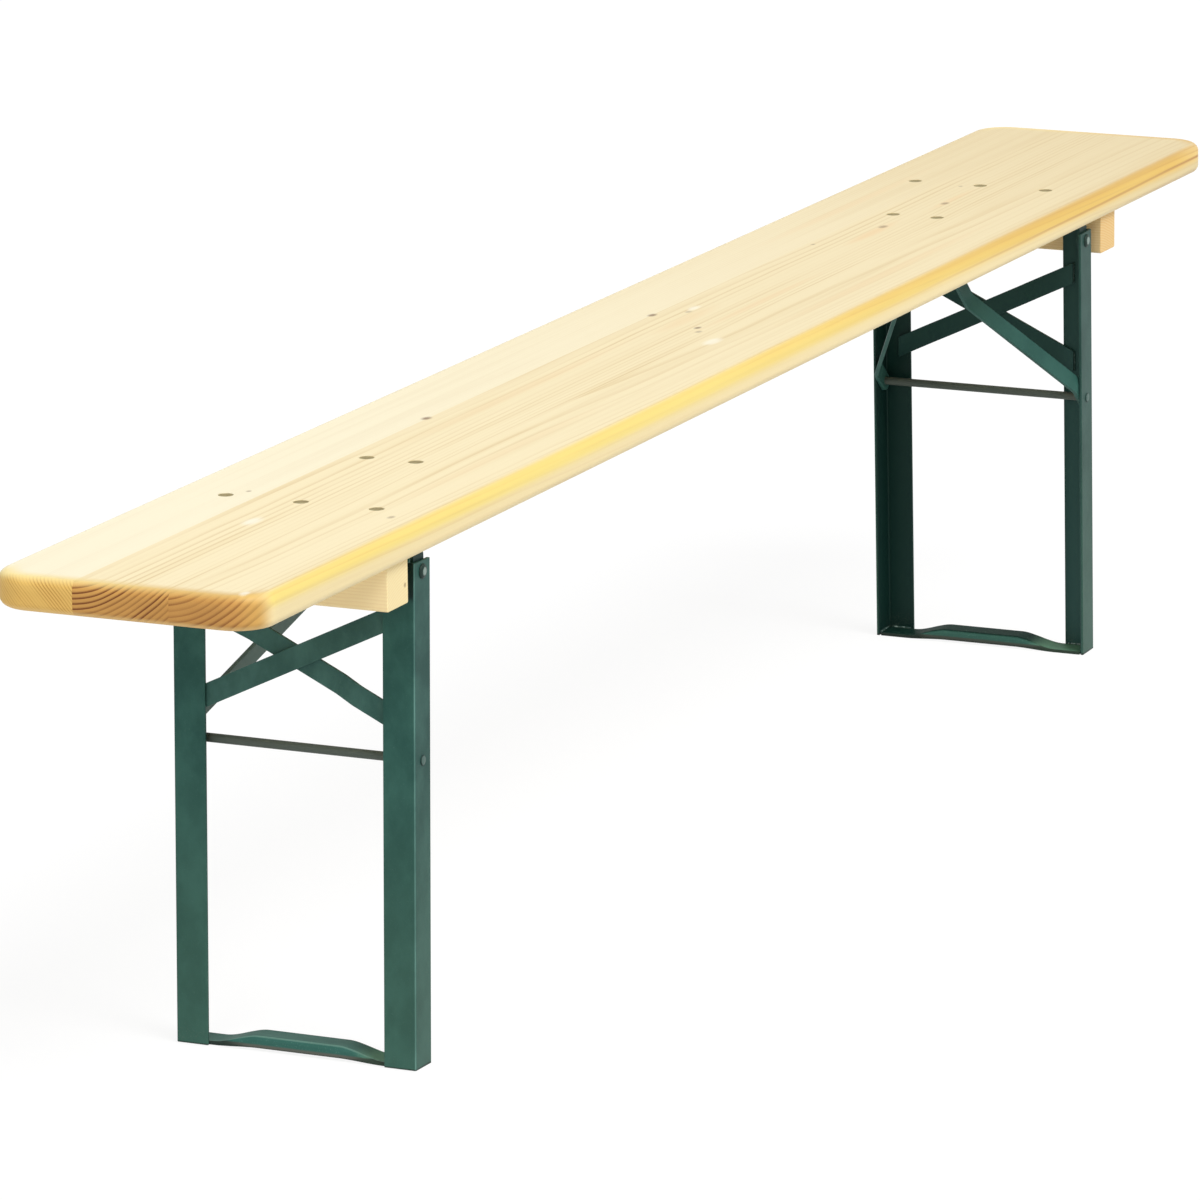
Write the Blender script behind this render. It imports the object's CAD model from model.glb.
import math
from functools import cached_property, partial

import bpy
import numpy as np
from mathutils import Matrix, Vector


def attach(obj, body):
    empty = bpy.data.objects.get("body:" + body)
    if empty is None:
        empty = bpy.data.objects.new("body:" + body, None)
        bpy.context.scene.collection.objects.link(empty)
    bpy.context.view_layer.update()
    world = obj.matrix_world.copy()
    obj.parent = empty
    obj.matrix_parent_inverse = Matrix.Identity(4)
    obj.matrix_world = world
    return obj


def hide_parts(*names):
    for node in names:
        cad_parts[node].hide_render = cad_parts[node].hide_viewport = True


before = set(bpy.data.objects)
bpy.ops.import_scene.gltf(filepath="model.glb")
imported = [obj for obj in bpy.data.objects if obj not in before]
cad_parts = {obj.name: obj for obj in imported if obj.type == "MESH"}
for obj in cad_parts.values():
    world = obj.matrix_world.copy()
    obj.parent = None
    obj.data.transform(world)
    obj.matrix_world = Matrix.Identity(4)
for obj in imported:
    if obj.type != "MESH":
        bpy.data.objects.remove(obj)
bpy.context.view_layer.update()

METRE = 0.001
ENDS = {"near": -1, "far": 1}
HANDS = {"left": 1, "right": -1}
QUARTER = math.pi / 2
SHARP_ANGLE = math.radians(38)
FLOOR_HALF = 30000
GAP = 0.3

# Board and battens
SEAT_TOP = 480
BOARD_LENGTH = 2200
BOARD_WIDTH = 250
BOARD_THICKNESS = 30
BOARD_CORNER = 36
BOARD_EDGE = 8
STAVE_BANDS = [(-125, -44.5), (-44.5, 43.25), (43.25, 125)]
UNDERSIDE = SEAT_TOP - BOARD_THICKNESS
BATTEN_X = 827.75
BATTEN_DEPTH = 39.5
BATTEN_LOW = UNDERSIDE - 38.5
BATTEN_LENGTH = 234

# Hinges and leg frames
HINGE_X = 774.5
HINGE_Z = 431
SPLAY = math.radians(1.59)
FRAME_HALF = 114
ANGLE_HALF = 15
WALL = 3
FLANGE_WIDTH = 30
FLANGE_INSIDE = FRAME_HALF - WALL
LEG_CROWN = 9
LEG_REACH = (HINGE_Z - ANGLE_HALF * math.sin(SPLAY)) / math.cos(SPLAY)
RIVET_RADIUS = 4
ROD_RADIUS = 4
ROD_TENON = 3
ROD_DROP = 163
ROD_X = HINGE_X + ROD_DROP * math.sin(SPLAY)
ROD_Z = HINGE_Z - ROD_DROP * math.cos(SPLAY)
HINGE_RAIL_HALF = FLANGE_INSIDE - GAP
EAR_RADIUS = 10
PLATE_EDGE = 0.35

# Braces
BRACE_WIDTH = 19
BRACE_DROP = 83
BRACE_TILT = math.radians(25.5)
BRACE_LAP = 15
BRACE_REACH = FLANGE_INSIDE - BRACE_LAP
CRANK_REACH = 46
CRANK_RUN = 18

# Foot rails
RAIL_RISE = 9.5
RAIL_LIFT = 2
RAIL_TAPER_START = 82
RAIL_TAPER_END = 38
RAIL_HALF = 109.5

# Struts and catches
BAR_WIDTH = 17
BAR_THICKNESS = 4
BAR_TAIL = 11
BAR_FOOT_RUN = 22
APEX_RUN = 71
APEX_X = 599
APEX_Z = 434
APEX_GAP = 68.5
APEX_PIN = 3.5
CATCH_X = 597
CATCH_EAR_YS = (-11.5, 11.5)
SLOT_FALL = math.radians(20)
SPRING_THICKNESS = 1
SPRING_RIVET_RADIUS = 2
STRUT_LENGTH = math.hypot(ROD_X - APEX_X, APEX_Z - ROD_Z)
STRUT_RISE = math.atan2(APEX_Z - ROD_Z, ROD_X - APEX_X)

# Bolts, nuts and screws. A screw's profile is pairs of radius and height, with its head's face at 0
RAIL_BOLT_X = 771.5
RAIL_BOLT_YS = (-71, 0, 71)
CATCH_BOLT_YS = (-23.5, 23.5)
SCREW_YS = (-80, 80)
BOLT_TOP = SEAT_TOP - GAP
BOLT_RADIUS = 3
HEAD_RADIUS = 6.5
HEAD_DEPTH = 3.8
HEAD_LAND = 0.8
THREAD_LENGTH = 11
THREAD_PITCH = 1
THREAD_DEPTH = 0.5
NUT_WIDTH, NUT_HEIGHT, NUT_BORE = 10, 5, 3.15
SCREW_FACE = BATTEN_LOW + GAP
SCREW = [(0.4, -60), (2.2, -56), (2.2, -2.6), (4.2, -0.6), (4.2, -0.15), (4.05, 0)]
SCREW_HOLE = [(2.5, -62), (2.5, -2.9), (4.5, -0.9), (4.5, 2)]


# Surfaces

def volume_of(points, faces):
    """Volume in a closed form: a sixth of the sum of each triangle's corner dotted with its doubled area."""
    total = 0
    for group in faces:
        corners = points[group]
        first = corners[:, :1]
        rays = corners - first
        areas = np.cross(rays[:, 1:-1], rays[:, 2:]).sum(axis=1)
        total += (first[:, 0] * areas).sum()
    return total / 6


def skin(rings, loop=False):
    """Form through rings of points, each joined to the next. Flat faces close its ends, unless it loops."""
    rings = np.asarray(rings, dtype=float)
    rows, count = rings.shape[:2]
    points = rings.reshape(-1, 3)
    row = np.arange(rows if loop else rows - 1)[:, None]
    column = np.arange(count)[None, :]
    here, there = row * count, (row + 1) % rows * count
    after = (column + 1) % count
    quads = np.stack([here + column, here + after, there + after, there + column], axis=-1)
    faces = [quads.reshape(-1, 4)]
    if not loop:
        faces.append(np.arange(count)[::-1][None, :])
        faces.append(np.arange(count)[None, :] + (rows - 1) * count)
    if volume_of(points, faces) < 0:
        faces = [group[:, ::-1] for group in faces]
    return points, faces


def together(*forms):
    """Several forms as one: the faces of each count on from the points before it."""
    points, faces, start = [], [], 0
    for form_points, form_faces in forms:
        points.append(form_points)
        faces += [group + start for group in form_faces]
        start += len(form_points)
    return np.concatenate(points), faces


def moved(form, turn=np.eye(3), shift=(0, 0, 0)):
    """A form turned by a matrix, then shifted. A matrix that mirrors it turns its faces round as well."""
    points, faces = form
    if np.linalg.det(turn) < 0:
        faces = [group[:, ::-1] for group in faces]
    return points @ turn.T + shift, faces


def unit(vectors):
    """Vectors, each over its own length."""
    return vectors / np.linalg.norm(vectors, axis=-1, keepdims=True)


def about_y(angle):
    """Turn about the Y axis that takes Z towards X."""
    c, s = math.cos(angle), math.sin(angle)
    return np.array([[c, 0, s], [0, 1, 0], [-s, 0, c]])


def about_z(angle):
    """Turn about the Z axis that takes X towards Y."""
    c, s = math.cos(angle), math.sin(angle)
    return np.array([[c, -s, 0], [s, c, 0], [0, 0, 1]])


# Turns of a form drawn along Z, and of a strip whose path is drawn in X and Y
ALONG_Y = np.array([[1, 0, 0], [0, 0, 1], [0, -1, 0]])
UPSIDE_DOWN = np.diag([1, -1, -1])
PATH_IN_XZ = np.array([[1, 0, 0], [0, 0, 1], [0, 1, 0]])
PATH_IN_YZ = np.array([[0, 0, 1], [1, 0, 0], [0, 1, 0]])


def add_object(name, data):
    obj = bpy.data.objects.new(name, data)
    bpy.context.scene.collection.objects.link(obj)
    return obj


def mesh_object(name, form):
    """A form as a mesh object in the scene, in metres."""
    points, faces = form
    mesh = bpy.data.meshes.new(name)
    mesh.from_pydata(points * METRE, [], [face for group in faces for face in group.tolist()])
    mesh.update()
    return add_object(name, mesh)


def combine(obj, form, operation):
    """Join a form on to an object, or cut it out, and leave nothing behind but the result."""
    tool = mesh_object(obj.name + "_tool", form)
    modifier = obj.modifiers.new("combine", "BOOLEAN")
    modifier.operation = operation
    modifier.solver = "EXACT"
    modifier.object = tool
    settled = obj.evaluated_get(bpy.context.evaluated_depsgraph_get())
    result = bpy.data.meshes.new_from_object(settled)
    obj.modifiers.clear()
    spent = [obj.data, tool.data]
    obj.data = result
    bpy.data.objects.remove(tool)
    for mesh in spent:
        bpy.data.meshes.remove(mesh)
    result.name = obj.name


def piece(name, form, body, look, nodes=(), joins=(), cuts=()):
    """Finished piece: its form with others joined on and cut out. Its look is a slot and a material."""
    obj = mesh_object(name, form)
    for join in joins:
        combine(obj, join, "UNION")
    if cuts:
        combine(obj, together(*cuts), "DIFFERENCE")
    slot, finish = look
    mesh = obj.data
    mesh.polygons.foreach_set("use_smooth", np.ones(len(mesh.polygons), dtype=bool))
    mesh.set_sharp_from_angle(angle=SHARP_ANGLE)
    mesh.materials.clear()
    mesh.materials.append(finish)
    shading = obj.modifiers.new("even shading", "WEIGHTED_NORMAL")
    shading.keep_sharp = True
    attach(obj, body)
    if nodes:
        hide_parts(*nodes)
    return obj


def steel_piece(node, form, body, look, place=moved, joins=(), cuts=()):
    """Steel piece in place of a CAD node. Its place is a function that moves each of its forms there."""
    joins, cuts = [place(join) for join in joins], [place(cut) for cut in cuts]
    return piece(f"{node}_steel", place(form), body, look, [node], joins, cuts)


def at_end(form, side, x, z=0, lean=0):
    """A form drawn with X outward, leant about Y and put at X and Z of its own end of the bench."""
    own_end = about_z(math.pi) if side < 0 else np.eye(3)
    return moved(form, own_end @ about_y(lean), (side * x, 0, z))


# Outlines

def rounded(corners, draw=0, steps=4):
    """Outline through corners of x, y and radius, all drawn in by a distance while each arc keeps its centre.

    That takes the distance off the radius of a corner that stands out, and adds it where one turns in.
    """
    table = np.array(corners, dtype=float)
    points, radii = table[:, :2], table[:, 2]
    onward = np.roll(points, -1, axis=0)
    ahead = unit(onward - points)
    behind = np.roll(ahead, 1, axis=0)
    turn = behind[:, 0] * ahead[:, 1] - behind[:, 1] * ahead[:, 0]
    way = math.copysign(1, (points[:, 0] * onward[:, 1] - points[:, 1] * onward[:, 0]).sum())
    inward = np.stack([-ahead[:, 1], ahead[:, 0]], axis=-1) * way
    before = np.roll(inward, 1, axis=0)
    spread = (inward + before) / (1 + (inward * before).sum(axis=1, keepdims=True))
    stands_out = turn * way > 0
    radius = np.where(stands_out, np.maximum(radii - draw, 0.02), radii + draw)[:, None]
    to_centre = spread * np.where(stands_out, 1, -1)[:, None]
    centre = points + spread * draw + to_centre * radius
    start = np.where(stands_out[:, None], -before, before)
    first = np.arctan2(start[:, 1], start[:, 0])[:, None]
    sweep = np.arctan2(turn, (behind * ahead).sum(axis=1))[:, None]
    angle = first + sweep * np.linspace(0, 1, steps + 1)
    arcs = centre[:, None] + radius[:, None] * np.stack([np.cos(angle), np.sin(angle)], axis=-1)
    return arcs.reshape(-1, 2)


def rectangle(x0, x1, y0, y1, radius0, radius1):
    """Corners of a rectangle, with one radius for the first two and one for the others."""
    return [(x0, y0, radius0), (x1, y0, radius0), (x1, y1, radius1), (x0, y1, radius1)]


def end_steps(length, edge, steps=4):
    """Places along a length, and how far the section is drawn in at each for quarter rounds at both ends."""
    angle = np.linspace(0, QUARTER, steps + 1)
    along = edge * (1 - np.cos(angle))
    draw = edge * (1 - np.sin(angle))
    return np.concatenate([along, length - along[::-1]]), np.concatenate([draw, draw[::-1]])


def bar(corners, low, high, edge, steps=4):
    """Straight bar along Z: its section's outline, drawn in towards each end by a quarter round."""
    along, draw = end_steps(high - low, edge)
    return skin([np.insert(rounded(corners, d, steps), 2, low + a, axis=1) for a, d in zip(along, draw)])


def full_turn(sides):
    """Angles that share out a full turn."""
    return np.linspace(0, 2 * math.pi, sides, endpoint=False)


def rings_round(rows, angle):
    """Rings round the Z axis, from pairs of radius and height. Either may change with the angle."""
    return [np.stack([r * np.cos(angle), r * np.sin(angle), h + 0 * angle], axis=-1) for r, h in rows]


def turned(profile, sides=40):
    """Form turned round the Z axis, from pairs of radius and height. Small flat faces close its ends."""
    return skin(rings_round(profile, full_turn(sides)))


def path_frames(path, bend, steps=8):
    """Points along a bent path and their left-hand normals, with true arcs of a radius at its bends."""
    corners = np.array(path, dtype=float)
    runs = unit(np.diff(corners, axis=0))
    points, normals = [corners[0]], [[-runs[0, 1], runs[0, 0]]]
    for corner, before, after in zip(corners[1:-1], runs[:-1], runs[1:]):
        turn = math.atan2(before[0] * after[1] - before[1] * after[0], before @ after)
        side = math.copysign(1, turn)
        start = corner - before * bend * math.tan(abs(turn) / 2)
        centre = start + side * bend * np.array([-before[1], before[0]])
        first = math.atan2(before[1], before[0]) + np.linspace(0, turn, steps + 1)
        normal = np.stack([-np.sin(first), np.cos(first)], axis=-1)
        points += list(centre - side * bend * normal)
        normals += list(normal)
    points.append(corners[-1])
    normals.append([-runs[-1, 1], runs[-1, 0]])
    return np.array(points), np.array(normals)


def strip(path, bend, width, thickness, edge, corner, margin=0, shear=0, pitch=None):
    """Flat strip bent along a path: coordinates are the path's two, and the third across the strip.

    Near an end the half width is less by the corner's radius and more by the height of its circle, and the
    edge's quarter round runs on over the end. A shear slides each point along by its place across. A margin
    holds the ends back from the path's.
    """
    points, normals = path_frames(path, bend)
    reach = np.concatenate([[0], np.cumsum(np.linalg.norm(np.diff(points, axis=0), axis=1))])
    length = reach[-1] - 2 * margin
    angle = np.linspace(0.06, QUARTER, 10)
    ends = np.concatenate([corner * (1 - np.cos(angle)), edge * (1 - np.cos(angle[1::3]))])
    inner = reach - margin
    inner = inner[(inner > corner + 0.1) & (inner < length - corner - 0.1)]
    if pitch:
        inner = np.arange(corner + pitch, length - corner, pitch)
    along = np.unique(np.round(np.concatenate([ends, inner, length - ends]), 4))
    near_end = np.minimum(along, length - along)[:, None]
    phase = np.arccos(np.clip(1 - near_end / edge, 0, 1)) * np.linspace(0, 1, 5)
    inset = edge * (1 - np.cos(phase))
    height = thickness / 2 - edge + edge * np.sin(phase)
    to_corner = corner - np.minimum(near_end, corner)
    bulge = np.sqrt(np.maximum((corner - inset) ** 2 - to_corner ** 2, 1e-6))
    half = width / 2 - corner + bulge
    across = np.concatenate([half, -half[:, ::-1], -half, half[:, ::-1]], axis=1)
    out = np.concatenate([height, height[:, ::-1], -height, -height[:, ::-1]], axis=1)
    place = along[:, None] + margin + shear * across
    normal = unit(np.stack([np.interp(place, reach, normals[:, i]) for i in (0, 1)], axis=-1))
    middle = np.stack([np.interp(place, reach, points[:, i]) for i in (0, 1)], axis=-1)
    return skin(np.concatenate([middle + normal * out[..., None], across[..., None]], axis=-1))


def hex_nut(across_flats, thickness, bore, steps=12):
    """Nut about Z: the reach of a six-sided outline, its corners cut back by a cone above and below."""
    angle = full_turn(6 * steps)
    flat = across_flats / 2
    reach = flat / np.cos((angle + math.pi / 6) % (math.pi / 3) - math.pi / 6)
    drop = (reach - flat) * math.tan(math.radians(30))
    face = flat * 0.97
    rows = [
        (bore, 0.4), (bore + 0.4, 0), (face, 0), (reach, drop + 0.12), (reach, thickness - drop - 0.12),
        (face, thickness), (bore + 0.4, thickness), (bore, thickness - 0.4),
    ]
    return skin(rings_round(rows, angle), loop=True)


def bead(path, radius, ripple=0.14, pitch=1.7, sides=10):
    """Weld bead: a round tube along a path, whose radius swells in ripples and falls away at both ends."""
    path = np.array(path, dtype=float)
    legs = np.linalg.norm(np.diff(path, axis=0), axis=1)
    reach = np.concatenate([[0], np.cumsum(legs)])
    along = np.linspace(0, reach[-1], max(int(reach[-1] / pitch * 6), 12))
    middle = np.stack([np.interp(along, reach, path[:, i]) for i in range(3)], axis=-1)
    heading = unit(np.gradient(middle, axis=0))
    side = unit(np.cross(heading, [0.31, 0.52, 0.79]))
    up = np.cross(heading, side)
    taper = np.sqrt(np.clip(np.minimum(along, reach[-1] - along) / radius, 0.05, 1))
    size = radius * taper * (1 + ripple * np.cos(2 * math.pi * along / pitch))
    angle = full_turn(sides)[:, None]
    ring = side[:, None] * np.cos(angle) + up[:, None] * np.sin(angle)
    return skin(middle[:, None] + ring * size[:, None, None])


# Shading

def linear(red, green, blue):
    """Colour written as 0 to 255 on the screen, as the light it stands for."""
    values = np.array([red, green, blue]) / 255
    light = np.where(values <= 0.04045, values / 12.92, ((values + 0.055) / 1.055) ** 2.4)
    return (*light.tolist(), 1)


def operator(name, backward=False):
    """Method of a term that adds the node for an operation on it and another value."""
    return lambda self, *other: self.maths(name, *((*other, self) if backward else (self, *other)))


class Term:
    """A socket that maths is written on. Each operation adds the node that works it out."""

    def __init__(self, finish, socket):
        self.finish = finish
        self.socket = socket

    def maths(self, operation, *values):
        return self.finish.node("ShaderNodeMath", dict(enumerate(values)), {"operation": operation})

    __add__ = __radd__ = operator("ADD")
    __sub__, __rsub__ = operator("SUBTRACT"), operator("SUBTRACT", backward=True)
    __mul__ = __rmul__ = operator("MULTIPLY")
    __truediv__ = operator("DIVIDE")
    __mod__ = operator("FLOORED_MODULO")
    __pow__ = operator("POWER")
    __abs__ = operator("ABSOLUTE")
    most = operator("MAXIMUM")


class Finish:
    """Node tree of a material or of the sky. The calls below make its nodes."""

    def __init__(self, holder):
        self.holder = bpy.data.materials.new(holder) if isinstance(holder, str) else holder
        self.holder.use_nodes = True
        self.tree = self.holder.node_tree
        self.tree.nodes.clear()

    def node(self, kind, inputs=None, settings=None, output=0):
        """Any node: its settings, then a value or a link for each socket, and the output that is wanted."""
        made = self.tree.nodes.new(kind)
        for key, value in (settings or {}).items():
            setattr(made, key, value)
        for key, value in (inputs or {}).items():
            if isinstance(value, Term):
                self.tree.links.new(value.socket, made.inputs[key])
            else:
                made.inputs[key].default_value = value
        return Term(self, made.outputs[output]) if made.outputs else None

    @cached_property
    def place(self):
        """Place on the object in millimetres, as a vector."""
        coordinates = self.node("ShaderNodeTexCoord", output="Object")
        scale = {0: coordinates, "Scale": 1 / METRE}
        return self.node("ShaderNodeVectorMath", scale, {"operation": "SCALE"})

    def axes(self):
        """X, Y and Z of the place."""
        return [self.node("ShaderNodeSeparateXYZ", {0: self.place}, output=i) for i in range(3)]

    def noise(self, size, detail=2, roughness=0.5, place=None):
        """Noise of 0 to 1, whose clouds have a size along each axis, or one size along all three."""
        factors = {0: place or self.place, 1: (1 / np.broadcast_to(size, 3)).tolist()}
        scaled = self.node("ShaderNodeVectorMath", factors, {"operation": "MULTIPLY"})
        inputs = {"Vector": scaled, "Scale": 1, "Detail": detail, "Roughness": roughness}
        return self.node("ShaderNodeTexNoise", inputs)

    def mix(self, first, second, share):
        """Colour between two, by a share of 0 to 1. A colour is a link, or 0 to 255 as on the screen."""
        first, second = (tone if isinstance(tone, Term) else linear(*tone) for tone in (first, second))
        return self.node("ShaderNodeMix", {0: share, 6: first, 7: second}, {"data_type": "RGBA"}, 2)

    def layers(self, colour, *coats):
        """Colour with others laid over it in turn, each by its own share."""
        for tone, share in coats:
            colour = self.mix(colour, tone, share)
        return colour

    def end(self, surface, kind="ShaderNodeOutputMaterial"):
        self.node(kind, {"Surface": surface})

    def look(self, slot, colour, roughness, bump=None, specular=0.5, **more):
        """A slot and this material. A bump is a height, a strength and a distance in metres."""
        inputs = {"Base Color": colour, "Roughness": roughness, "Specular IOR Level": specular}
        if bump:
            relief = dict(zip(("Height", "Strength", "Distance"), bump))
            inputs["Normal"] = self.node("ShaderNodeBump", relief)
        for key, value in more.items():
            inputs[key.replace("_", " ").title()] = value
        self.end(self.node("ShaderNodeBsdfPrincipled", inputs))
        return slot, self.holder


def step(value, low, high, start=0, end=1):
    """Smooth change from start to end as a value goes from low to high."""
    inputs = dict(enumerate((value, low, high, start, end)))
    return value.finish.node("ShaderNodeMapRange", inputs, {"interpolation_type": "SMOOTHSTEP"})


# Small marks in the board: tint, place, half length along the grain, half width across it, depth of tint
WARM = 238, 204, 148
KNOT = 122, 88, 46
PALE = 255, 248, 226
BOARD_MARKS = [
    (WARM, -300, 16, 300, 9, 0.3), (WARM, 150, -26, 170, 7, 0.4), (WARM, 46, 6, 90, 12, 0.35),
    (WARM, 500, 6, 80, 9, 0.6), (WARM, 690, -2, 70, 6, 0.45), (WARM, -540, -78, 260, 8, 0.25),
    (WARM, 330, -84, 320, 9, 0.3), (WARM, 620, 82, 260, 9, 0.3), (KNOT, -435, 44, 9, 5.5, 0.85),
    (KNOT, -795, -96, 7, 4, 0.5), (KNOT, -752, 59, 4, 3, 0.6), (KNOT, 52, 43, 9, 5, 0.85),
    (KNOT, 79, 18, 7, 4, 0.4), (KNOT, 14, -20, 7, 4, 0.8), (KNOT, -2, -28, 7, 4, 0.45),
    (KNOT, 424, 37, 4, 3, 0.5), (KNOT, 533, 8, 10, 5.5, 0.62), (KNOT, 669, -3, 9, 5, 0.62),
    (KNOT, 761, 17, 4, 3, 0.45), (PALE, -852, 5, 20, 9, 0.8), (PALE, -38, -58, 22, 9, 0.75),
    (PALE, -1083, -105, 9, 5, 0.75), (PALE, 97, 20, 16, 6, 0.7),
]

# Tones of the board's top: early and late wood, worn towards the far end, bleached towards the near one
TOP_EARLY = 250, 234, 190
TOP_LATE = 210, 174, 96
TOP_WORN = 208, 184, 130
TOP_BLEACHED = 255, 251, 228
# Of a long edge: its band near and far, the far band's crest, the lines in it and the pale lower part
SIDE_YELLOW = 248, 224, 130
SIDE_AMBER = 234, 193, 91
SIDE_CREST = 208, 168, 88
SIDE_LINE = 196, 142, 70
SIDE_PALE = 243, 223, 170
# Of an end: its upper rim, its corners and its lower lip
END_RIM = 250, 228, 154
END_CORNER = 221, 180, 97
END_LIP = 226, 190, 126


def spruce(name, band, pith, drift, spacing, figure, bleach, end_tones, end_contrast):
    """Varnished spruce sawn along the grain: growth rings are shells about a pith line along X.

    The distance from the pith over the ring spacing, slightly disturbed, gives the ring, in which the wood
    darkens slowly to its late wood. A place's depth below the top, less how far in from the board's rim it
    is, runs evenly over the top rounding, where the tone of an edge fades in.
    """
    wood = Finish(name)
    x, y, z = wood.axes()
    sway = wood.noise((420, 90, 90)) - 0.5
    swell = wood.noise((900, 70, 70), detail=1) - 0.5
    across = y - pith[0] + x * drift[0] + sway * 7
    upward = z - pith[1] + x * drift[1] + sway * 4
    radius = (across * across + upward * upward) ** 0.5
    ring = (radius / spacing + swell * 2.2) % 1
    late = step(ring, 0.35, 0.9) * step(ring, 0.93, 1, 1, 0)
    along_ring = wood.node("ShaderNodeCombineXYZ", {0: radius * (0.3 / spacing), 1: x / 1600})
    vein = wood.noise(1, place=along_ring)
    fibre = wood.noise((90, 0.8, 0.8), detail=3, roughness=0.6)
    streak = wood.noise((620, 11, 11))
    cloud = wood.noise((260, 60, 60))

    past_x = abs(x) - (BOARD_LENGTH / 2 - BOARD_CORNER)
    past_y = abs(y) - (BOARD_WIDTH / 2 - BOARD_CORNER)
    endward = past_x - past_y
    on_end = step(endward, -32, -2)
    at_corner = step(endward, -8, 24, 1, 0)
    round_x, round_y = past_x.most(0), past_y.most(0)
    inset = BOARD_CORNER - (round_x * round_x + round_y * round_y) ** 0.5
    depth = SEAT_TOP - z + (fibre - 0.5) * 1.6
    on_rim = step(inset, 7.2, 8.4, 1, 0).most(step(depth, 4, 8, 1, 0))
    down_edge = depth + BOARD_EDGE - inset
    far_off = step(x, -1100, 1100)
    far_end = step(x, 450, 1150)

    lines = late * late * step(cloud, 0.3, 0.6, 0.4, 1) * step(vein, 0.36, 0.66, 0.12, 1.15)
    top = wood.layers(
        TOP_EARLY,
        (TOP_LATE, lines * figure + step(streak, 0.42, 0.85) * 0.26 + (fibre - 0.5) * 0.22),
        (TOP_WORN, far_off * 0.3 + far_end * 0.2),
        (TOP_BLEACHED, (1 - far_off) * bleach),
    )
    wander = (streak - 0.5) * 4 + sway * 5
    band_tone = wood.layers(
        SIDE_YELLOW,
        (SIDE_AMBER, step(x, -500, 1100) + (cloud - 0.5) * 0.4),
        (SIDE_CREST, step(depth, 1, 9, 1, 0) * step(x, -300, 1150, 0.25, 1)),
        (SIDE_PALE, step(x, 1000, 1080) * 0.35),
    )
    lower = step(x, -800, 100, 2, -0.7) - far_end * 1.6
    line = step(abs(depth + wander + far_end * 2.2 - 13.8), 0.3, 2, 1, 0)
    line = line * step(x, 100, 1000, 0.04, 0.75)
    side = wood.layers(
        SIDE_PALE,
        (TOP_WORN, far_end * 0.45),
        (band_tone, step(depth + wander + lower, 8.5, 19.5, 1, 0)),
        (SIDE_LINE, line + lines * (0.16 + far_end * 0.3) + (fibre - 0.5) * 0.2),
    )
    arcs = late * step(vein, 0.34, 0.66, 0.4, 1.1) * end_contrast
    ends = wood.layers(
        end_tones[0],
        (end_tones[1], arcs + (fibre - 0.5) * 0.3 + (cloud - 0.5) * 0.5),
        (end_tones[1], step(depth, 6, 15) * 0.14),
        (END_CORNER, at_corner * 0.4),
        (END_LIP, step(depth, 24, 28) * 0.65),
    )
    rim_tone = wood.mix(END_RIM, END_CORNER, step(y, -100, 120, 1, 0))
    back_edge = step(y, -60, 60) * 6
    colour = wood.layers(
        top,
        (side, on_rim * step(down_edge - back_edge, -4, 7) * (1 - on_end)),
        (rim_tone, on_rim * step(down_edge, -14, 4) * on_end * 0.9),
        (ends, on_rim * step(down_edge - at_corner * 5, -1, 14) * on_end),
    )
    for tint, mark_x, mark_y, long, wide, strength in BOARD_MARKS:
        if band[0] < mark_y + wide and mark_y - wide < band[1]:
            off_x, off_y = (x - mark_x) / long, (y - mark_y) / wide
            ragged = (off_x * off_x + off_y * off_y) ** 0.5 + (fibre - 0.5) * 0.5
            colour = wood.mix(colour, tint, step(ragged, 0.25, 1.05, strength, 0))
    roughness = 0.4 + fibre * 0.12 + on_end * step(down_edge, 4, 14) * 0.2
    bump = late * 0.5 + fibre * 0.5, 0.16, 0.0004
    coat = {"coat_weight": 0.06, "coat_roughness": 0.25}
    return wood.look("spruce_board", colour, roughness, bump, specular=0.3, **coat)


def batten_spruce(name):
    """Plain spruce of the battens: the grain runs along Y, with rings about a pith line inboard and below."""
    wood = Finish(name)
    x, y, z = wood.axes()
    sway = wood.noise((40, 160, 40)) - 0.5
    across = abs(x) - 790 + sway * 6
    upward = z - 330 + sway * 5
    radius = (across * across + upward * upward) ** 0.5
    ring = (radius / 2.7) % 1
    late = step(ring, 0.3, 0.88) * step(ring, 0.92, 1, 1, 0)
    fibre = wood.noise((0.9, 60, 0.9), detail=3, roughness=0.6)
    on_end = step(abs(y), 115.8, 116.9)
    browner = step(x, -600, 600)
    face = wood.mix((250, 228, 178), (214, 172, 108), late * 0.16 + (fibre - 0.5) * 0.4 + browner * 0.4)
    ends = wood.mix((249, 231, 178), (224, 166, 80), late * 0.22 + (fibre - 0.5) * 0.3 + browner * 0.5)
    off_x, off_z = (x + 814) / 2.6, (z - 428) / 2.6
    knot = step((off_x * off_x + off_z * off_z) ** 0.5, 0.4, 1.1, 0.55, 0)
    colour = wood.layers(face, (ends, on_end), (KNOT, knot * on_end))
    bump = late * 0.3 + fibre * 0.7, 0.2, 0.0004
    return wood.look("spruce_batten", colour, 0.5 + fibre * 0.15, bump, specular=0.3)


def outward_from(x, z):
    """Distance outward from the plane of the hinges, less the splay of the leg frames."""
    return abs(x) - HINGE_X - (HINGE_Z - z) * math.tan(SPLAY)


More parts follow.
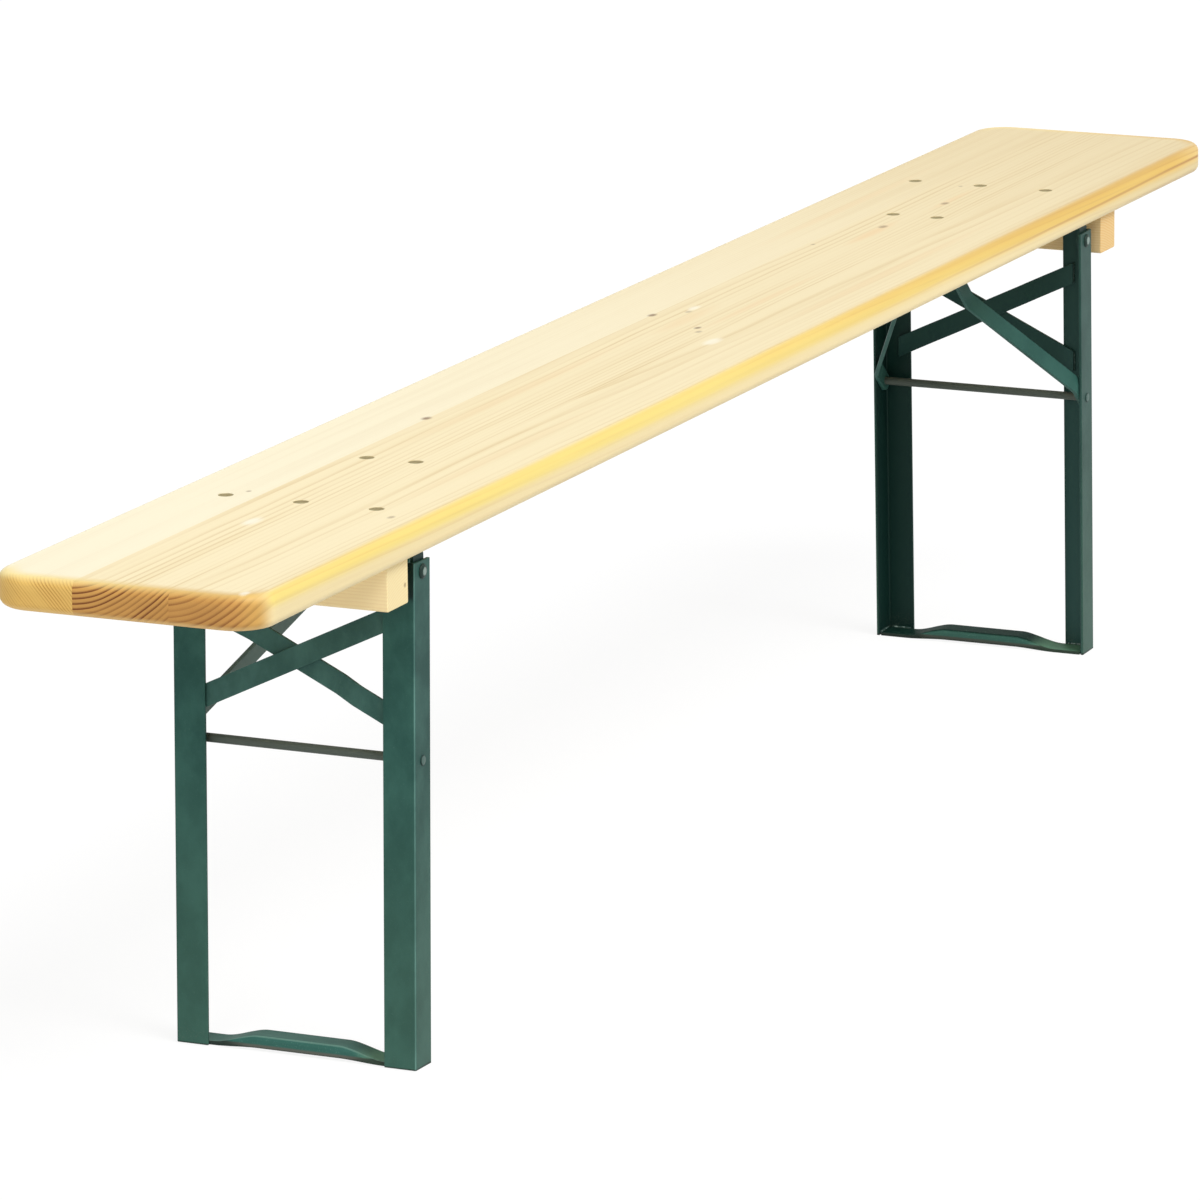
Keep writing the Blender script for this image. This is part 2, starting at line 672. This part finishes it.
def green_paint(name, light, deep, sheltered, open_from, crank=0, under_seat=0):
    """Satin green paint on steel: slow clouds of tone, a fine rolled texture, dust and scuffs near the floor.

    It is thin and dark behind a leg frame's outward faces, where a cranked bar's middle lies a crank
    further in, and darkest on a leg behind a batten. Close under the board it may be thin as well.
    """
    paint = Finish(name)
    x, y, z = paint.axes()
    outward = outward_from(x, z)
    hand = abs(y)
    if crank:
        outward = outward + step(hand, CRANK_REACH * 0.9, (CRANK_REACH + CRANK_RUN) * 0.9, crank, 0)
    cloud = paint.noise((34, 34, 52), detail=4, roughness=0.6)
    speck = paint.noise(1.3)
    peel = paint.noise(2.6, detail=1)
    open_side = step(outward, open_from, open_from + 1.8).most(step(hand, 111.4, 113.2))
    front = step(outward, 12.3, 14.3)
    behind_batten = front * step(z, 405, 413) * step(hand, 112.6, 113.4, 1, 0)
    heel = step(outward, 13.5, 14.6) * step(hand, 112.5, 113.6)
    heel_tone = paint.mix((20, 40, 36), (126, 168, 160), step(y, -10, 10, 1, 0))
    scuff = step(z, 2, 26, 1, 0) * step(speck * 0.5 + cloud * 0.5, 0.5, 0.68)
    bright = paint.layers(
        light,
        (deep, step(cloud, 0.3, 0.7)),
        (FADED_GREEN, step(x, 300, 700) * 0.35),
        (FLOOR_LIT_GREEN, step(z, 30, 320, 0.28, 0)),
    )
    colour = paint.layers(
        sheltered,
        (LIT_GREEN, step(0 - y, 72, 96) * step(z, 0, 460, 0.95, 0.6)),
        (bright, open_side),
        ((84, 118, 108), step(speck, 0.6, 0.8) * open_side * 0.25),
        ((14, 28, 25), behind_batten * 0.85),
        (heel_tone, heel * step(cloud, 0.2, 0.6, 0.7, 0.3)),
        ((112, 116, 104), scuff * 0.25),
        ((30, 34, 31), step(z + cloud, 1.6, 3.2, 0.75, 0)),
    )
    if under_seat:
        dusty = step(x, -500, -300, 1, 0) * step(y, 10, 30)
        shade = step(z, 392, 424, 0, under_seat)
        colour = paint.layers(colour, ((122, 130, 124), dusty * 0.55), ((15, 29, 26), shade))
    bump = peel * 0.7 + speck * 0.3, 0.16, 0.0003
    return paint.look("green_paint", colour, 0.36 + cloud * 0.14 + scuff * 0.2, bump, specular=0.12)


def rail_paint(name):
    """Satin green paint on a pressed foot rail: the near rail is lighter, and the far one dark on its top.

    Its right-hand end is yellower, and dirt makes a dark skirt along both walls.
    """
    paint = Finish(name)
    x, y, z = paint.axes()
    outward = outward_from(x, z)
    cloud = paint.noise((16, 34, 12), detail=4, roughness=0.6)
    speck = paint.noise(1.3)
    far = step(x, -300, 300)
    wall = step(outward, 8.4, 10.6).most(step(outward, -14.6, -12.6, 1, 0))
    crest = step(abs(outward - 9.4), 0.4, 1.4, 0.45, 0) * (1 - far)
    skirt = paint.layers(
        (96, 94, 88),
        ((44, 46, 42), step(abs(y), 44, 72).most(far * 0.5)),
        ((40, 38, 35), step(z, 3, 4.2, 0.6, 0)),
    )
    colour = paint.layers(
        (76, 112, 104),
        ((58, 92, 85), cloud),
        ((15, 42, 35), far),
        (paint.layers((66, 112, 103), ((44, 84, 76), cloud), ((60, 98, 88), far)), wall),
        ((104, 148, 122), step(0 - y, 50, 74) * 0.75),
        ((122, 160, 148), crest),
        ((110, 146, 134), step(speck, 0.56, 0.78) * 0.3),
        (skirt, wall * step(z + cloud * 1.5, 5.6, 7.6, 0.85, 0)),
    )
    return paint.look("green_paint", colour, 0.44 + cloud * 0.14, (speck, 0.14, 0.0003), specular=0.03)


def rivet_paint(name, body, head, bare, rise):
    """Paint on a rod or rivet along Y: dark in the ring of its head, worn lighter on top of its dome."""
    paint = Finish(name)
    x, y, _ = paint.axes()
    hand = abs(y)
    cloud = paint.noise(3, detail=3)
    lean = step(x, -300, 300) * 0.12
    worn = step(hand + (cloud - 0.5) * 0.5 + lean, FRAME_HALF + rise - 0.35, FRAME_HALF + rise)
    on_head = step(hand, FRAME_HALF - 0.4, FRAME_HALF + 0.2)
    colour = paint.layers(body, (head, on_head), (bare, worn))
    bump = cloud, 0.1, 0.0002
    return paint.look("green_paint", colour, 0.4 + cloud * 0.12, bump, specular=0.2, metallic=worn * 0.3)


def weld_paint(name, hollow, crest):
    """Thin paint on weld beads: green between the ripples, and bare spots that glint most near the floor."""
    paint = Finish(name)
    spot = paint.noise(2.4, detail=3)
    bare = step(spot, 0.5, 0.68) * step(paint.axes()[2], 40, 90, 1, 0.25)
    colour = paint.mix(hollow, crest, bare)
    return paint.look("green_paint", colour, 0.42 - bare * 0.16, (spot, 0.3, 0.0004), metallic=bare * 0.4)


def dull_zinc(name, light, deep):
    """Yellow zinc plating gone dull: patches of straw and olive, and a fine turned texture."""
    zinc = Finish(name)
    cloud = zinc.noise(5, detail=4, roughness=0.65)
    colour = zinc.mix(light, deep, step(cloud, 0.35, 0.65))
    bump = zinc.noise(0.7), 0.12, 0.0002
    return zinc.look("zinc_steel", colour, 0.42 + cloud * 0.25, bump, specular=0.15, metallic=0.35)


def blued_spring(name):
    """Tempered spring strip: dark steel with a straw and blue bloom, brushed along its length."""
    steel = Finish(name)
    bloom = step(steel.noise(9), 0.3, 0.7)
    brush = steel.noise((8, 0.4, 8))
    colour = steel.layers((112, 118, 130), ((140, 128, 108), bloom), ((84, 86, 92), brush * 0.4))
    return steel.look("spring_steel", colour, 0.24 + brush * 0.18, metallic=0.9)


# For each stave: pith in Y and Z, its drift along X, ring spacing, strength of the lines on top, bleaching,
# tones of the end grain, their contrast
STAVE_TRAITS = [
    ((-43, 539), (0.012, 0.004), 5.2, 0.34, 0, ((200, 148, 78), (126, 74, 32)), 0.72),
    ((64.5, 550), (-0.01, 0.006), 4.4, 0.52, 0, ((204, 152, 80), (110, 58, 22)), 0.95),
    ((296, 253), (0.006, 0.003), 2.5, 0.18, 0.5, ((226, 186, 102), (172, 118, 50)), 0.75),
]
STAVE_WOODS = [
    spruce(f"spruce_stave_{i + 1}", band, *traits)
    for i, (band, traits) in enumerate(zip(STAVE_BANDS, STAVE_TRAITS))
]
BATTEN_WOOD = batten_spruce("spruce_batten_wood")
FADED_GREEN = 50, 68, 62
LIT_GREEN = 46, 78, 74
FLOOR_LIT_GREEN = 78, 110, 92
GREENS = (50, 91, 83), (35, 73, 67)
BRACE_GREENS = (65, 102, 95), (48, 82, 76), (32, 62, 57)
STRUT_GREENS = (52, 102, 93), (40, 88, 80), (34, 72, 64)
LEG_PAINT = green_paint("green_paint_leg", *GREENS, (18, 46, 41), open_from=12.3)
BRACE_PAINT = green_paint("green_paint_brace", *BRACE_GREENS, open_from=9.3)
CRANKED_PAINT = green_paint("green_paint_cranked", *BRACE_GREENS, open_from=9.3, crank=WALL + GAP)
STRUT_PAINT = green_paint("green_paint_strut", *STRUT_GREENS, open_from=-400, under_seat=0.9)
SEAT_PAINT = green_paint("green_paint_seat", *GREENS, (20, 42, 38), open_from=30)
RAIL_PAINT = rail_paint("green_paint_rail")
RIVET_PAINT = rivet_paint("green_paint_rivet", (40, 82, 74), (30, 50, 44), (140, 158, 150), rise=2.7)
ROD_PAINT = rivet_paint("green_paint_rod", (76, 84, 77), (30, 52, 47), (84, 108, 102), rise=1.1)
WELD_PAINT = weld_paint("green_paint_weld", (28, 60, 53), (150, 172, 166))
ZINC = dull_zinc("dull_zinc", (166, 152, 106), (140, 126, 82))
SPRING = blued_spring("spring_steel")


# Board and battens

def stave_form(low, high):
    """One stave: the board's outline, drawn in by quarter rounds at its top and bottom, cut to a band of Y.

    A side that lies outside follows the outline's straight edge and corner arcs. A sawn one is straight.
    """
    half_length, half_width = BOARD_LENGTH / 2, BOARD_WIDTH / 2
    across, draws = end_steps(BOARD_THICKNESS, BOARD_EDGE, steps=8)
    rings = []
    for height, draw in zip(across, draws):
        reach = half_length - draw
        outline = []
        for y, hand in ((low, -1), (high, 1)):
            if abs(y) < half_width - 0.1:
                side = np.array([[-reach, y], [reach, y]])
            else:
                middle_x, middle_y = half_length - BOARD_CORNER, half_width - BOARD_CORNER
                angle = np.linspace(0, QUARTER, 17)
                arc_x = middle_x + (BOARD_CORNER - draw) * np.sin(angle)
                arc_y = hand * (middle_y + (BOARD_CORNER - draw) * np.cos(angle))
                right = np.stack([arc_x, arc_y], axis=-1)
                side = np.concatenate([right[::-1] * [-1, 1], right])
            outline.append(side if hand < 0 else side[::-1])
        rings.append(np.insert(np.concatenate(outline), 2, UNDERSIDE + height, axis=1))
    return skin(rings)


def bolt_hole(x, y):
    """Hole for a bolt: its shank, cone and land grown by the clearance, and open at both ends."""
    shank, head = BOLT_RADIUS + GAP, HEAD_RADIUS + GAP
    profile = [
        (shank, UNDERSIDE - 2), (shank, BOLT_TOP - HEAD_DEPTH - GAP),
        (head, BOLT_TOP - HEAD_LAND - GAP), (head, BOLT_TOP + 2),
    ]
    return moved(turned(profile, sides=64), shift=(x, y, 0))


def screw_hole(x, y):
    return moved(turned(SCREW_HOLE), UPSIDE_DOWN, (x, y, SCREW_FACE))


def bolt_places():
    """Name, X and Y of each bolt: three through each hinge rail, two through each catch."""
    for end, side in ENDS.items():
        for holder, x, ys in ("rail", RAIL_BOLT_X, RAIL_BOLT_YS), ("catch", CATCH_X, CATCH_BOLT_YS):
            for i, y in enumerate(ys):
                yield f"{holder}_{end}_{i + 1}", side * x, y


def threaded_bolt(bottom):
    """Bolt under a flat sunk head.

    The thread is a radius that falls and rises with height less turn, once a pitch, and fades out at its top.
    """
    angle = full_turn(40)
    thread_top = bottom + THREAD_LENGTH
    heights = np.arange(bottom + 0.5, thread_top, THREAD_PITCH / 8)[:, None]
    phase = (heights / THREAD_PITCH - angle / (2 * math.pi)) % 1
    cut = THREAD_DEPTH * np.abs(2 * phase - 1) * np.clip((thread_top - heights) / 1.5, 0, 1)
    rows = [
        (2.2, bottom), (2.6, bottom + 0.3), *zip(BOLT_RADIUS - cut, heights[:, 0]),
        (BOLT_RADIUS, thread_top + 0.3), (BOLT_RADIUS, BOLT_TOP - HEAD_DEPTH),
        (HEAD_RADIUS - 0.1, BOLT_TOP - HEAD_LAND), (HEAD_RADIUS, BOLT_TOP - HEAD_LAND + 0.1),
        (HEAD_RADIUS, BOLT_TOP - 0.15), (HEAD_RADIUS - 0.15, BOLT_TOP),
    ]
    return skin(rings_round(rows, angle))


def make_board():
    """The three staves, drilled for bolts and screws."""
    holes = [bolt_hole(x, y) for _, x, y in bolt_places()]
    holes += [screw_hole(side * BATTEN_X, y) for side in ENDS.values() for y in SCREW_YS]
    for i, ((low, high), wood) in enumerate(zip(STAVE_BANDS, STAVE_WOODS)):
        node = f"board_stave_{i + 1}"
        piece(f"{node}_wood", stave_form(low, high), "seat", wood, [node], cuts=holes)


def make_batten(end, side):
    """Batten with rounded lower edges, and its two screws with a crossed recess in their heads."""
    middle, half = side * BATTEN_X, BATTEN_DEPTH / 2
    corners = rectangle(middle - half, middle + half, -UNDERSIDE, -BATTEN_LOW, 0.4, 2)
    block = moved(bar(corners, -BATTEN_LENGTH / 2, BATTEN_LENGTH / 2, edge=0.8), ALONG_Y)
    node = f"batten_{end}"
    holes = [screw_hole(middle, y) for y in SCREW_YS]
    piece(f"{node}_wood", block, "seat", BATTEN_WOOD, [node], cuts=holes)
    recess = rectangle(-2.6, 2.6, -0.45, 0.45, 0.1, 0.1)
    for i, y in enumerate(SCREW_YS):
        at = (middle, y, SCREW_FACE)
        form = moved(turned(SCREW), UPSIDE_DOWN, at)
        screw = steel_piece(f"batten_screw_{end}_{i + 1}", form, "seat", ZINC)
        for quarter in (0, QUARTER):
            turn = UPSIDE_DOWN @ about_z(0.5 + i) @ about_z(quarter)
            combine(screw, moved(bar(recess, -1.6, 1, edge=0.1), turn, at), "DIFFERENCE")


def make_bolts():
    """Bolts down through the board, each turned its own way, with their nuts under a plate."""
    nut_low = UNDERSIDE - WALL - NUT_HEIGHT
    for name, x, y in bolt_places():
        bolt = moved(threaded_bolt(nut_low - 2), about_z(x + y), (x, y, 0))
        steel_piece(f"{name}_bolt", bolt, "seat", ZINC)
        nut = moved(hex_nut(NUT_WIDTH, NUT_HEIGHT, NUT_BORE), about_z(0.3 * x + y), (x, y, nut_low))
        steel_piece(f"{name}_nut", nut, "seat", ZINC)


# Hinge rails and catches

def hole_along_y(radius, x=0, z=0):
    """Hole through all that a frame holds."""
    return moved(turned([(radius, -130), (radius, 130)]), ALONG_Y, (x, 0, z))


def hole_under_board(radius, x=0, y=0):
    """Upright hole through a plate that lies on the board's underside."""
    return moved(turned([(radius, UNDERSIDE - 8), (radius, UNDERSIDE + 4)]), shift=(x, y, 0))


def make_hinge_rail(end, side):
    """Strip under the board, bent down at both ends into ears that are round about the hinge."""
    middle, top, ear_low = HINGE_RAIL_HALF - WALL / 2, UNDERSIDE - WALL / 2, HINGE_Z - EAR_RADIUS
    path = [(-middle, ear_low), (-middle, top), (middle, top), (middle, ear_low)]
    form = strip(path, bend=4 + WALL / 2, width=2 * EAR_RADIUS, thickness=WALL, edge=PLATE_EDGE,
                 corner=EAR_RADIUS - 0.02)
    rail = moved(form, PATH_IN_YZ, (side * HINGE_X, 0, 0))
    cuts = [hole_under_board(BOLT_RADIUS + GAP, side * RAIL_BOLT_X, y) for y in RAIL_BOLT_YS]
    cuts.append(hole_along_y(RIVET_RADIUS + GAP, side * HINGE_X, HINGE_Z))
    steel_piece(f"hinge_rail_{end}", rail, "seat", SEAT_PAINT, cuts=cuts)


def make_catch(end, side):
    """Plate under the board with two slotted ears, its leaf spring, and the rivet that holds the spring."""
    own = partial(at_end, side=side, x=CATCH_X)
    pin_x = APEX_X - CATCH_X
    base = bar(rectangle(-13, 13, -33, 33, 4, 4), UNDERSIDE - WALL, UNDERSIDE, PLATE_EDGE, steps=8)
    inboard, outboard = pin_x - 12.5, pin_x + 6.6
    ear = rectangle(inboard, outboard, 1 - UNDERSIDE, 31 - UNDERSIDE, 0.3, 5)
    ear_form = bar(ear, -WALL / 2, WALL / 2, PLATE_EDGE, steps=8)
    ears = [moved(ear_form, ALONG_Y, (0, y, 0)) for y in CATCH_EAR_YS]
    half = APEX_PIN + GAP
    slot = [(-30, -half, 0.1), (half, -half, half - 0.01), (half, half, half - 0.01), (-30, half, 0.1)]
    slot_form = moved(bar(slot, -30, 30, edge=0.05, steps=10), ALONG_Y)
    rivet_x = outboard - 5.5
    rivet_hole = hole_under_board(SPRING_RIVET_RADIUS + GAP, rivet_x)
    cuts = [hole_under_board(BOLT_RADIUS + GAP, 0, y) for y in CATCH_BOLT_YS]
    cuts += [rivet_hole, moved(slot_form, about_y(-SLOT_FALL), (pin_x, 0, APEX_Z))]
    steel_piece(f"catch_bracket_{end}", base, "seat", SEAT_PAINT, own, ears, cuts)

    half = SPRING_THICKNESS / 2
    spring_z = UNDERSIDE - WALL - GAP - half
    knee = pin_x - APEX_PIN - GAP - half
    path = [
        (outboard, spring_z), (knee - 3, spring_z), (knee, APEX_Z),
        (knee - 3, APEX_Z - 9), (knee - 11, APEX_Z - 12),
    ]
    blade = strip(path, bend=2, width=14, thickness=SPRING_THICKNESS, edge=0.15, corner=1.5)
    blade = moved(blade, PATH_IN_XZ)
    steel_piece(f"catch_spring_{end}", blade, "seat", SPRING, own, cuts=[rivet_hole])

    head = spring_z - half - GAP
    dome = [(3.6 * math.sin(a), head - 1.4 * math.cos(a)) for a in np.linspace(0.15, QUARTER, 7)]
    rivet = turned(dome + [(SPRING_RIVET_RADIUS, head), (SPRING_RIVET_RADIUS, UNDERSIDE - GAP)])
    steel_piece(f"spring_rivet_{end}", moved(rivet, shift=(rivet_x, 0, 0)), "seat", ZINC, own)


# Leg frames

def rivet_form(low, high, shank, head, rise, middle=()):
    """Rivet along Y, turned: its heads are quarters of an ellipse, with perhaps a stouter middle between."""
    angle = np.linspace(0.08, QUARTER, 9)
    dome = np.stack([head * np.sin(angle), rise * np.cos(angle)], axis=-1)
    foot = dome * [1, -1] + [0, low]
    crown = dome[::-1] + [0, high]
    profile = np.concatenate([foot, [(shank, low), *middle, (shank, high)], crown])
    return moved(turned(profile), ALONG_Y)


def leg_form(hand):
    """Angle with its heel at the frame's outer corner: an L section drawn in at both ends."""
    outer, inner, lip = hand * FRAME_HALF, hand * FLANGE_INSIDE, hand * (FRAME_HALF - FLANGE_WIDTH)
    corners = [
        (ANGLE_HALF, outer, 1.6), (-ANGLE_HALF, outer, 0.5), (-ANGLE_HALF, inner, 0.8),
        (ANGLE_HALF - WALL, inner, 1.5), (ANGLE_HALF - WALL, lip, 0.8), (ANGLE_HALF, lip, 0.5),
    ]
    return bar(corners, -LEG_REACH, LEG_CROWN, edge=0.4, steps=6)


def brace_form(kind):
    """Flat bar across the frame, its ends cut upright. The cranked one steps behind the other."""
    face = ANGLE_HALF - WALL - GAP - WALL / 2
    margin = BRACE_WIDTH
    far = BRACE_REACH / math.cos(BRACE_TILT) + margin
    if kind == "flat":
        path = [(-far, 0), (far, 0)]
        hand = 1
    else:
        back, run = WALL + GAP, CRANK_REACH + CRANK_RUN
        path = [(-far, 0), (-run, 0), (-CRANK_REACH, back), (CRANK_REACH, back), (run, 0), (far, 0)]
        hand = -1
    form = strip(path, bend=4.5, width=BRACE_WIDTH, thickness=WALL, edge=0.4, corner=0.8, margin=margin,
                 shear=math.tan(BRACE_TILT), pitch=1.5)
    along = np.array([0, math.cos(BRACE_TILT), math.sin(BRACE_TILT) * hand])
    over = np.array([0, -math.sin(BRACE_TILT), math.cos(BRACE_TILT) * hand])
    turn = np.stack([along, [-1, 0, 0], over], axis=-1)
    return moved(form, turn, (face, 0, -BRACE_DROP))


def rail_swell(y):
    """Share of the pressed height at a place along the foot rail: none at its ends, all in its middle."""
    share = np.clip((RAIL_TAPER_START - np.abs(y)) / (RAIL_TAPER_START - RAIL_TAPER_END), 0, 1)
    return share * share * (3 - 2 * share)


def foot_rail_form(draw):
    """Foot rail along Y: a section with rounded upper corners, whose height follows the pressed swell.

    Its lower edges arch a little off the floor in the middle. Drawn in by the wall, it is the hollow inside.
    """
    low_x, high_x = -ANGLE_HALF + draw, ANGLE_HALF - WALL - GAP - draw
    ys = np.linspace(-RAIL_HALF, RAIL_HALF, 147)
    if draw:
        ys = ys[rail_swell(ys) > 0.03]
    rings = []
    for y in ys:
        end = max(0.4 - (RAIL_HALF - abs(y)), 0)
        base = -LEG_REACH - draw if draw else -LEG_REACH + RAIL_LIFT * rail_swell(y)
        top = -LEG_REACH + WALL + RAIL_RISE * rail_swell(y) - draw - end
        corner = max(min(4 - draw, (top - base) / 2 - 0.4), 0.3)
        section = rounded(rectangle(low_x + end, high_x - end, base, top, 0.3, corner), steps=6)
        rings.append(np.stack([section[:, 0], np.full(len(section), y), section[:, 1]], axis=-1))
    return skin(rings)


def make_leg_frame(end, side):
    """Two legs on their hinge rivets, and between them the braces, the foot rail, the rod and the welds."""
    body = f"leg_frame_{end}"
    own = partial(at_end, side=side, x=HINGE_X, z=HINGE_Z, lean=-SPLAY)
    for name, hand in HANDS.items():
        holes = [hole_along_y(RIVET_RADIUS + GAP), hole_along_y(ROD_TENON + GAP, 0, -ROD_DROP)]
        steel_piece(f"leg_{end}_{name}", leg_form(hand), body, LEG_PAINT, own, cuts=holes)
        grips = sorted([hand * (HINGE_RAIL_HALF - WALL - GAP), hand * (FRAME_HALF + GAP)])
        rivet = rivet_form(*grips, shank=RIVET_RADIUS, head=6.5, rise=2.6)
        steel_piece(f"hinge_rivet_{end}_{name}", rivet, body, RIVET_PAINT, own)
    for kind, look in (("flat", BRACE_PAINT), ("cranked", CRANKED_PAINT)):
        steel_piece(f"brace_{kind}_{end}", brace_form(kind), body, look, own)
    rail, hollow = foot_rail_form(0), foot_rail_form(WALL)
    steel_piece(f"foot_rail_{end}", rail, body, RAIL_PAINT, own, cuts=[hollow])
    grip, shoulder = FRAME_HALF + GAP, FLANGE_INSIDE - GAP
    stout = [(ROD_TENON, -shoulder), (ROD_RADIUS - 0.3, -shoulder), (ROD_RADIUS, 0.3 - shoulder)]
    stout += [(radius, -along) for radius, along in stout[::-1]]
    rod = rivet_form(-grip, grip, shank=ROD_TENON, head=4.6, rise=1.2, middle=stout)
    steel_piece(f"cross_rod_{end}", moved(rod, shift=(0, 0, -ROD_DROP)), body, ROD_PAINT, own)

    beads = []
    face, top = ANGLE_HALF - WALL, WALL - LEG_REACH
    for hand in HANDS.values():
        wall = hand * FLANGE_INSIDE
        beads.append(bead([(-12, wall, top), (face - 3, wall, top)], 1.3))
        beads.append(bead([(face, hand * 108, top), (face, hand * 87, top)], 1.2))
        for sign in (1, -1):
            level = -BRACE_DROP + sign * hand * BRACE_REACH * math.tan(BRACE_TILT)
            half = BRACE_WIDTH / 2 / math.cos(BRACE_TILT)
            at_brace = (face - 0.6, hand * BRACE_REACH)
            beads.append(bead([(*at_brace, level - half), (*at_brace, level + half)], 1.1))
    piece(f"welds_{end}", own(together(*beads)), body, WELD_PAINT)


# Struts

def make_strut(end, side):
    """Two flat bars bent in towards each other from the legs to the apex, and the pin that joins them."""
    body = f"strut_{end}"
    own = partial(at_end, side=side, x=ROD_X, z=ROD_Z, lean=math.pi + STRUT_RISE)
    foot_y = FLANGE_INSIDE - GAP - BAR_THICKNESS / 2
    apex_y = (APEX_GAP + BAR_THICKNESS) / 2
    cuts = [hole_along_y(ROD_RADIUS + GAP), hole_along_y(APEX_PIN + GAP, STRUT_LENGTH)]
    for name, hand in HANDS.items():
        path = [
            (-BAR_TAIL, hand * foot_y), (BAR_FOOT_RUN, hand * foot_y),
            (STRUT_LENGTH - APEX_RUN, hand * apex_y), (STRUT_LENGTH + BAR_WIDTH / 2, hand * apex_y),
        ]
        form = strip(path, bend=9, width=BAR_WIDTH, thickness=BAR_THICKNESS, edge=0.5,
                     corner=BAR_WIDTH / 2 - 0.02)
        steel_piece(f"strut_arm_{end}_{name}", form, body, STRUT_PAINT, own, cuts=cuts)
    grip = APEX_GAP / 2 + BAR_THICKNESS + GAP
    pin = rivet_form(-grip, grip, shank=APEX_PIN, head=5.5, rise=2)
    steel_piece(f"apex_pin_{end}", moved(pin, shift=(STRUT_LENGTH, 0, 0)), body, STRUT_PAINT, own)


# Camera, floor and light

def add_camera():
    """Camera with a long lens, placed by its own heading, pitch and roll."""
    yaw, pitch, roll = 0.42827953, -0.23801417, -0.01008380
    turns = (yaw - QUARTER, "Z"), (pitch + QUARTER, "X"), (roll, "Z")
    heading, tilt, lean = (Matrix.Rotation(angle, 4, axis) for angle, axis in turns)
    data = bpy.data.cameras.new("camera")
    data.sensor_width = 36
    data.lens = 238.8705
    data.clip_end = 100
    camera = add_object("camera", data)
    place = Matrix.Translation((-6.61615152, -2.94447821, 1.97883859))
    camera.matrix_world = place @ heading @ tilt @ lean
    bpy.context.scene.camera = camera


def seen_ray(finish):
    """Share that is 1 for rays from the camera, from a glossy surface or through glass, and 0 for others."""
    camera, glossy, through = [
        finish.node("ShaderNodeLightPath", output=name)
        for name in ("Is Camera Ray", "Is Glossy Ray", "Is Transmission Ray")
    ]
    return camera.most(glossy).most(through)


def add_floor():
    """Plain pale floor. What sees it directly finds it white, with a light shadow."""
    corners = np.array([(-1, -1, 0), (1, -1, 0), (1, 1, 0), (-1, 1, 0)])
    floor = mesh_object("floor", (corners * FLOOR_HALF, [np.array([[0, 1, 2, 3]])]))
    paint = Finish("floor_white")
    plain = paint.node("ShaderNodeBsdfDiffuse", {"Color": (0.82, 0.82, 0.82, 1)})
    lit = paint.node("ShaderNodeBsdfDiffuse", {"Color": (0.16, 0.16, 0.16, 1)})
    glow = paint.node("ShaderNodeEmission", {"Color": (1, 1, 1, 1), "Strength": 0.87})
    seen = paint.node("ShaderNodeAddShader", {0: lit, 1: glow})
    paint.end(paint.node("ShaderNodeMixShader", {0: seen_ray(paint), 1: plain, 2: seen}))
    floor.data.materials.append(paint.holder)


def add_lamp(name, toward, strength, spread, glints=True):
    """Soft distant lamp that shines from a direction. Without glints it isn't mirrored in the varnish."""
    data = bpy.data.lights.new(name, "SUN")
    data.energy = strength
    data.angle = math.radians(spread)
    lamp = add_object(name, data)
    lamp.rotation_euler = Vector(toward).to_track_quat("Z", "Y").to_euler()
    lamp.visible_glossy = glints


def add_light():
    """A soft key from the front and above, a low one along the bench from its near end, and a pale sky."""
    add_lamp("key", (-0.18, -0.6, 0.8), strength=2.1, spread=30)
    add_lamp("low", (-0.93, -0.06, 0.36), strength=0.9, spread=24, glints=False)
    world = bpy.data.worlds.new("sky")
    sky = Finish(world)
    strength = seen_ray(sky) * 0.6 + 0.4
    light = sky.node("ShaderNodeBackground", {"Color": (1, 1, 1, 1), "Strength": strength})
    sky.end(light, "ShaderNodeOutputWorld")
    bpy.context.scene.world = world


add_camera()
add_floor()
add_light()
make_board()
make_bolts()
for end, side in ENDS.items():
    make_batten(end, side)
    make_hinge_rail(end, side)
    make_catch(end, side)
    make_leg_frame(end, side)
    make_strut(end, side)

bpy.context.scene.view_settings.view_transform = "Standard"
